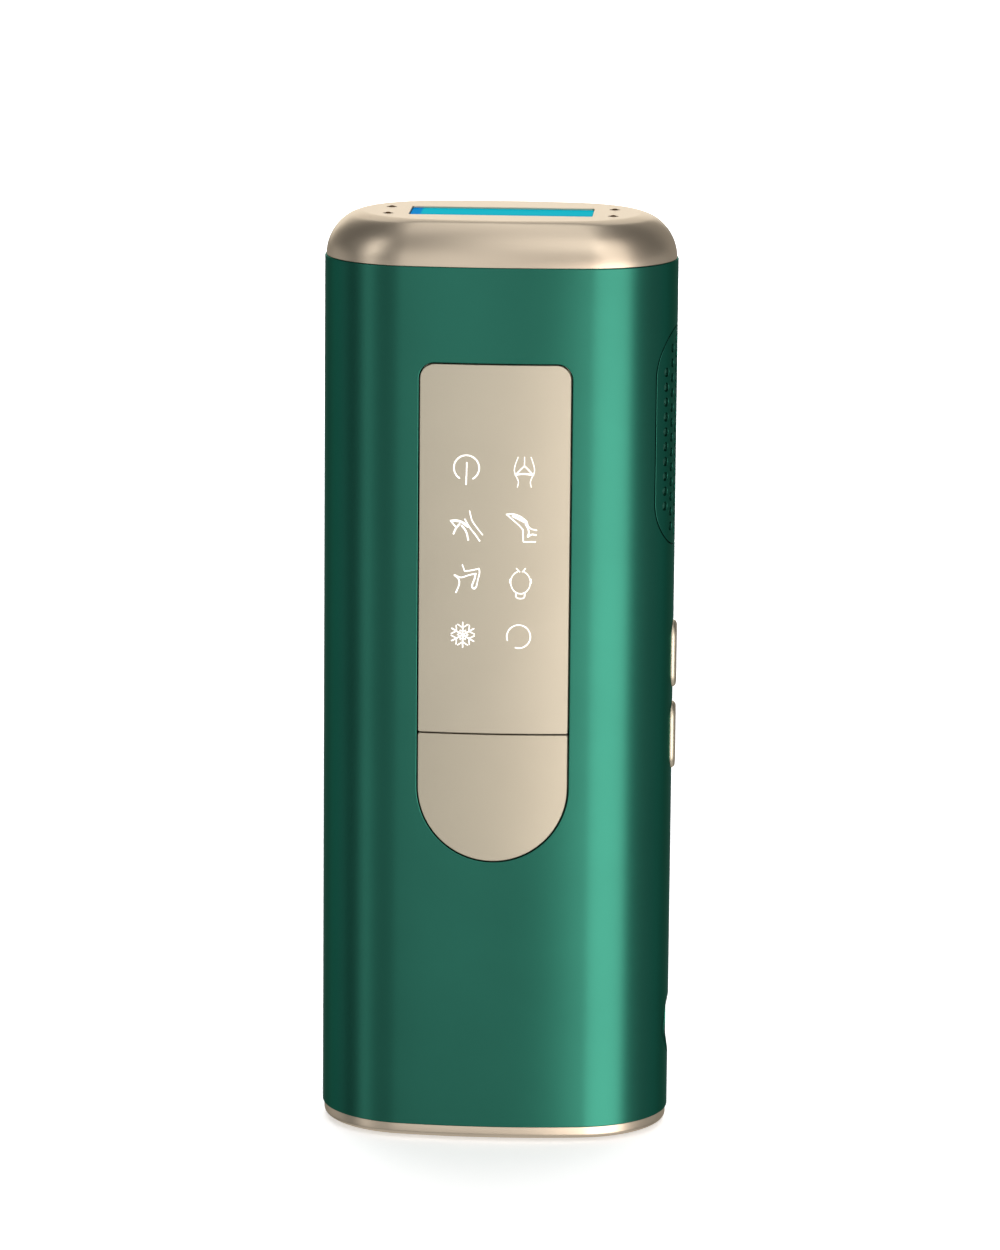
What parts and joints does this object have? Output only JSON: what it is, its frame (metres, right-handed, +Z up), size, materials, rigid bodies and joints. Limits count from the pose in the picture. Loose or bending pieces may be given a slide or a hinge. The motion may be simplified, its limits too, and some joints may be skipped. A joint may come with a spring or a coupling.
{
  "type": "ipl hair remover",
  "caption": "Upright oval IPL hair remover with a flat treatment window on top, a long front control panel with a flash button, side keys, a side air vent and a power inlet.",
  "frame": {"origin": "middle of the footprint, on the surface that the feet rest on", "axes": "+Z up through the treatment window, -Y is the front with the control panel, +X is the side with the vent, the keys and the power inlet"},
  "size_m": [0.0626, 0.036, 0.164],
  "materials": {
    "green_body": "metallic green lacquer, satin gloss",
    "champagne_head": "champagne metallic lacquer, satin",
    "champagne_panel": "champagne metallic film, satin",
    "champagne_button": "champagne metallic lacquer, satin",
    "champagne_pin": "champagne plated",
    "treatment_glass": "polished sapphire over a blue filter",
    "filter_glass": "coated filter glass",
    "lamp_glass": "clear quartz tube",
    "black_silicone": "matt silicone",
    "black_rubber": "matt rubber",
    "zinc_steel": "zinc plated",
    "copper": "bare copper",
    "mirror_aluminium": "polished reflector",
    "bare_aluminium": "bare, extruded",
    "nickel": "nickel plated",
    "white_ceramic": "matt ceramic",
    "grey_plastic": "moulded, fine texture",
    "black_plastic": "moulded, fine texture",
    "white_plastic": "translucent white",
    "circuit_board": "green solder mask",
    "orange_film": "polyimide film",
    "switch_metal": "stamped cover",
    "capacitor_sleeve": "aluminium can in shrink sleeve",
    "transformer_tape": "ferrite core with yellow tape",
    "potting_resin": "potted coil",
    "ferrite": "ferrite ring with copper winding"
  },
  "bodies": {
    "housing": {"base_cover": "champagne_head", "base_screws": "zinc_steel", "board_screws": "zinc_steel", "chassis": "grey_plastic", "cold_frame": "copper", "control_panel": "champagne_panel", "controller_chip": "black_plastic", "dc_socket": "black_plastic", "dc_socket_pin": "nickel", "fan_duct": "black_plastic", "fan_frame": "black_plastic", "filter_glass": "filter_glass", "filter_inductor": "ferrite", "flash_capacitor": "capacitor_sleeve", "flash_lamp": "lamp_glass", "flash_switch": "switch_metal", "head_screws": "zinc_steel", "heat_sink": "bare_aluminium", "icon_diffuser": "white_plastic", "icon_leds": "white_plastic", "key_board": "circuit_board", "key_board_screws": "zinc_steel", "key_ribbon": "orange_film", "lamp_carrier": "grey_plastic", "lamp_electrodes": "nickel", "lamp_holder_left": "white_ceramic", "lamp_holder_right": "white_ceramic", "lamp_reflector": "mirror_aluminium", "light_guide": "black_plastic", "main_board": "circuit_board", "peltier_module": "white_ceramic", "power_transistor": "black_plastic", "ribbon_connectors": "white_plastic", "rubber_feet": "black_rubber", "sapphire_window": "treatment_glass", "sensor_boards": "circuit_board", "side_board_bracket": "grey_plastic", "side_key_board": "circuit_board", "side_switch_lower": "switch_metal", "side_switch_upper": "switch_metal", "skin_sensor_pins": "champagne_pin", "sleeve": "green_body", "socket_board": "circuit_board", "transformer": "transformer_tape", "treatment_head": "champagne_head", "trigger_coil": "potting_resin", "vent_grille": "green_body", "window_gasket": "black_silicone"},
    "flash_button": {"flash_button": "champagne_button", "flash_switch_plunger": "black_plastic"},
    "side_key_upper": {"side_key_upper": "champagne_button", "side_plunger_upper": "black_plastic"},
    "side_key_lower": {"side_key_lower": "champagne_button", "side_plunger_lower": "black_plastic"},
    "fan_impeller": {"fan_impeller": "black_plastic"}
  },
  "joints": [
    {"name": "flash_button_press", "type": "slide", "parent": "housing", "child": "flash_button", "axis": [0, 1, 0], "range_m": [0, 0.0006], "stiffness_N_per_m": 1500, "springref_m": -0.0005},
    {"name": "upper_key_press", "type": "slide", "parent": "housing", "child": "side_key_upper", "axis": [-1, 0, 0], "range_m": [0, 0.0004], "stiffness_N_per_m": 1500, "springref_m": -0.0005},
    {"name": "lower_key_press", "type": "slide", "parent": "housing", "child": "side_key_lower", "axis": [-1, 0, 0], "range_m": [0, 0.0004], "stiffness_N_per_m": 1500, "springref_m": -0.0005},
    {"name": "fan_spin", "type": "hinge", "parent": "housing", "child": "fan_impeller", "pos_m": [0.0176, 0, 0.125], "axis": [1, 0, 0], "continuous": true}
  ]
}
